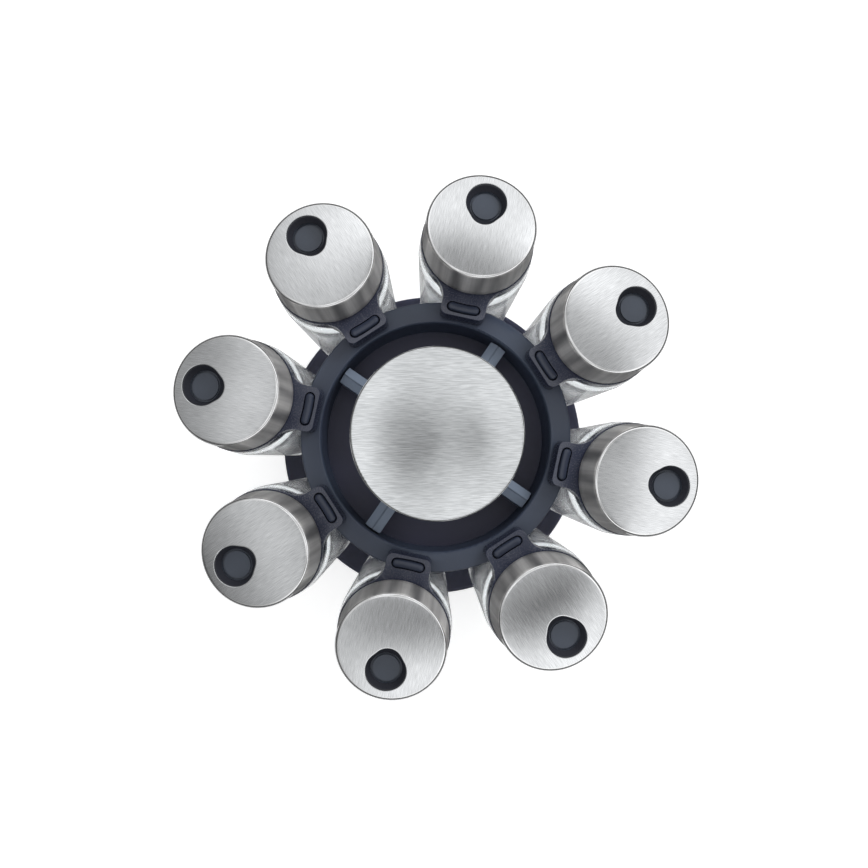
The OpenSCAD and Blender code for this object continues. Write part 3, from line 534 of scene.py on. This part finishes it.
def peg_dome_mesh():
    wide = PEG_W / 2 + 0.02
    loops = [[(-PEG_REACH, 0, -PEG_TOP_S - PEG_SKIRT)], peg_outline(wide, -PEG_TOP_S - PEG_SKIRT)]
    spring = -PEG_TOP_S - PEG_SKIRT / 2
    rise = PEG_SKIRT / 2 + PEG_DOME_H
    for step in range(9):
        angle = pi / 2 * step / 8
        loops.append(peg_outline(max(0.04, wide * cos(angle)), spring + rise * sin(angle)))
    loops.append([(-PEG_REACH, 0, -PEG_TOP_S + PEG_DOME_H)])
    return lofted("peg_dome", loops, sharp_deg=70)


peg_mesh = peg_dome_mesh()
for n in JARS:
    peg = new_piece(f"peg_dome_{n}", peg_mesh, PEG_ABS, jar_frame[n])
    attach(peg, "carousel")


# ---- Parts kept from the solid model ----

def dress(node, material, edge_mm=0.0):
    """Gives a solid its material, and rounds its sharp edges."""
    piece = frame["nodes"][node]
    piece.data.materials.clear()
    piece.data.materials.append(material)
    if edge_mm:
        weld = piece.modifiers.new("weld", "WELD")
        weld.merge_threshold = 0.002 * MM
        round_off = piece.modifiers.new("round_off", "BEVEL")
        round_off.width = edge_mm * MM
        round_off.segments = 3
        round_off.limit_method = "ANGLE"
        round_off.angle_limit = radians(35)
        round_off.harden_normals = True
        round_off.use_clamp_overlap = True


for n in JARS:
    dress(f"collar_{n}", COLLAR_PP, 0.5)
    dress(f"cap_insert_{n}", INSERT_PP)
    dress(f"sifter_{n}", SIFTER_PP)
dress("jar_ring", RING_ABS, 0.3)
dress("hub_column", HUB_ABS_PAINTED_LIGHT)
for node in ("drum_shell", "turntable_plate", "disc_carrier", "base_dish", "base_cover"):
    dress(node, DRUM_ABS)
dress("steel_disc", DISC_STEEL)
dress("ball_cage", BUSH_BRASS)
dress("spindle_bush", BUSH_BRASS)
for node in ("plate_screws", "column_screws", "base_screws"):
    dress(node, SCREW_ZINC)
for node in ("bearing_balls", "spindle", "spindle_clip"):
    dress(node, SPINDLE_STEEL)
dress("base_weight", BALLAST_IRON)
dress("foot_ring", FOOT_RUBBER)


# ---- Floor, background and light ----

FLOOR_HALF = 0.5
# a hair under the foot ring, so that their faces don't meet
FLOOR_Z = -0.0003
shape = bmesh.new()
bmesh.ops.create_grid(shape, x_segments=8, y_segments=8, size=FLOOR_HALF)
floor_mesh = bpy.data.meshes.new("floor")
shape.to_mesh(floor_mesh)
shape.free()
floor_paint = bpy.data.materials.new("white_floor")
floor_paint.use_nodes = True
tree = floor_paint.node_tree
tree.nodes.clear()
matt = add(tree, "ShaderNodeBsdfDiffuse", {"Color": linear("#d8d8d8")})
glow = add(tree, "ShaderNodeEmission", {"Color": (1, 1, 1, 1), "Strength": 0.66})
lit = add(tree, "ShaderNodeAddShader", {0: matt.outputs[0], 1: glow.outputs[0]})
plain = add(tree, "ShaderNodeEmission", {"Color": (1, 1, 1, 1), "Strength": 1.0})
path = add(tree, "ShaderNodeLightPath")
mirrored = add(tree, "ShaderNodeMath", {0: path.outputs["Is Glossy Ray"], 1: 0.1}, operation="MULTIPLY")
near = add(tree, "ShaderNodeMath", {0: path.outputs["Is Camera Ray"], 1: mirrored.outputs[0]},
           operation="MAXIMUM")
choice = add(tree, "ShaderNodeMixShader", {0: near.outputs[0], 1: matt.outputs[0], 2: lit.outputs[0]})
choice = add(tree, "ShaderNodeMixShader", {0: path.outputs["Is Transmission Ray"], 1: choice.outputs[0],
                                           2: plain.outputs[0]})
add(tree, "ShaderNodeOutputMaterial", {"Surface": choice.outputs[0]})
floor = new_piece("floor", floor_mesh, floor_paint, Matrix.Translation((0, 0, FLOOR_Z)))

world = bpy.data.worlds.new("studio")
bpy.context.scene.world = world
world.use_nodes = True
tree = world.node_tree
tree.nodes.clear()
heading = add(tree, "ShaderNodeTexCoord").outputs["Generated"]


def soft_step(value, start, end, low, high):
    """low before start and high after end, with a soft change between them."""
    return add(tree, "ShaderNodeMapRange", {"Value": value, "From Min": start, "From Max": end,
                                            "To Min": low, "To Max": high},
               interpolation_type="SMOOTHSTEP").outputs["Result"]


def heading_to(side_deg, lean_deg):
    """A direction in the room: side_deg anticlockwise from the view's right, lean_deg off straight up."""
    side, lean = radians(side_deg) + VIEW_TURN, radians(lean_deg)
    return Vector((cos(side) * sin(lean), sin(side) * sin(lean), cos(lean)))


def facing(direction):
    """How closely a ray heads in a direction, as the cosine of the angle between them."""
    return add(tree, "ShaderNodeVectorMath", {0: heading, 1: direction},
               operation="DOT_PRODUCT").outputs["Value"]


# A white room as brushed steel mirrors it: bright overhead, a dim ring round that, a ceiling brighter
# towards the view's left, walls that fall off towards the left, and a dark foot
ceiling = soft_step(facing(heading_to(170, 90)), -0.1, 0.4, 0.5, 0.86)
walls = soft_step(facing(heading_to(188, 90)), 0.05, 0.6, 1.3, 0.42)
upward = add(tree, "ShaderNodeMath", {0: facing(Vector((0, 0, 1)))}, operation="ARCCOSINE").outputs[0]
level = 1.2
# Where one ring of the room turns into the next, in degrees off straight up, and the brightness beyond
for start_deg, end_deg, beyond in ((16, 19, 0.6), (20, 27, ceiling), (30, 39, walls), (53, 63, 0.1)):
    level = soft_step(upward, radians(start_deg), radians(end_deg), level, beyond)

# Soft cards: side, lean off straight up, radius of the full part and where it ends, brightness added.
# All but the last number are degrees.
CARDS = [(303, 33, 2, 9, -0.45), (318, 34, 2, 7, -0.4), (303, 46, 4, 10, 0.25), (258, 27, 2, 8, -0.28),
         (271, 34, 2, 8, 0.15), (258, 45, 4, 10, 0.22), (208, 50, 3, 12, -0.3), (348, 34, 3, 12, 0.2),
         (20, 36, 2, 8, -0.25), (56, 36, 3, 10, 0.4), (78, 28, 3, 9, -0.2), (91, 33, 2, 8, -0.12),
         (110, 37, 3, 9, 0.3), (170, 35, 3, 10, 0.12), (165, 4, 2.5, 6.2, -0.8), (20, 4.5, 2.5, 6.2, -0.62),
         (355, 9, 1, 6, -0.35), (100, 8, 1, 6.5, -0.25), (250, 5, 1, 6.5, -0.35)]
for side_deg, lean_deg, full_deg, end_deg, gain in CARDS:
    towards = facing(heading_to(side_deg, lean_deg))
    card = soft_step(towards, cos(radians(end_deg)), cos(radians(full_deg)), 0.0, gain)
    level = add(tree, "ShaderNodeMath", {0: level, 1: card}, operation="ADD").outputs[0]

path = add(tree, "ShaderNodeLightPath")
dim = add(tree, "ShaderNodeBackground", {"Color": linear("#fbfcfd"), "Strength": level})
white = add(tree, "ShaderNodeBackground", {"Color": (1, 1, 1, 1), "Strength": 1.0})
sees = add(tree, "ShaderNodeMath",
           {0: path.outputs["Is Camera Ray"], 1: path.outputs["Is Transmission Ray"]},
           operation="MAXIMUM")
choice = add(tree, "ShaderNodeMixShader", {0: sees.outputs[0], 1: dim.outputs[0], 2: white.outputs[0]})
add(tree, "ShaderNodeOutputWorld", {"Surface": choice.outputs[0]})


LIGHT_AIM = Vector((0, 0, 0.1))


def soft_box(name, place, size, power):
    """A studio light in the camera's turned frame, aimed at the carousel. Shiny faces don't see it."""
    light = bpy.data.lights.new(name, "AREA")
    light.shape = "RECTANGLE"
    light.size, light.size_y = size
    light.energy = power
    lamp = bpy.data.objects.new(name, light)
    bpy.context.scene.collection.objects.link(lamp)
    spot = Matrix.Rotation(VIEW_TURN, 3, "Z") @ Vector(place)
    turned_to = (LIGHT_AIM - spot).to_track_quat("-Z", "Y")
    lamp.matrix_world = Matrix.Translation(spot) @ turned_to.to_matrix().to_4x4()
    lamp.visible_glossy = False


soft_box("overhead_light", (-0.25, 0.3, 1.9), (1.2, 1.2), 3)
soft_box("side_light", (-1.2, 0.3, 1.0), (0.8, 1.4), 3)
soft_box("corner_light", (1.0, 1.1, 0.95), (0.6, 0.6), 14)

bpy.context.scene.view_settings.view_transform = "Standard"
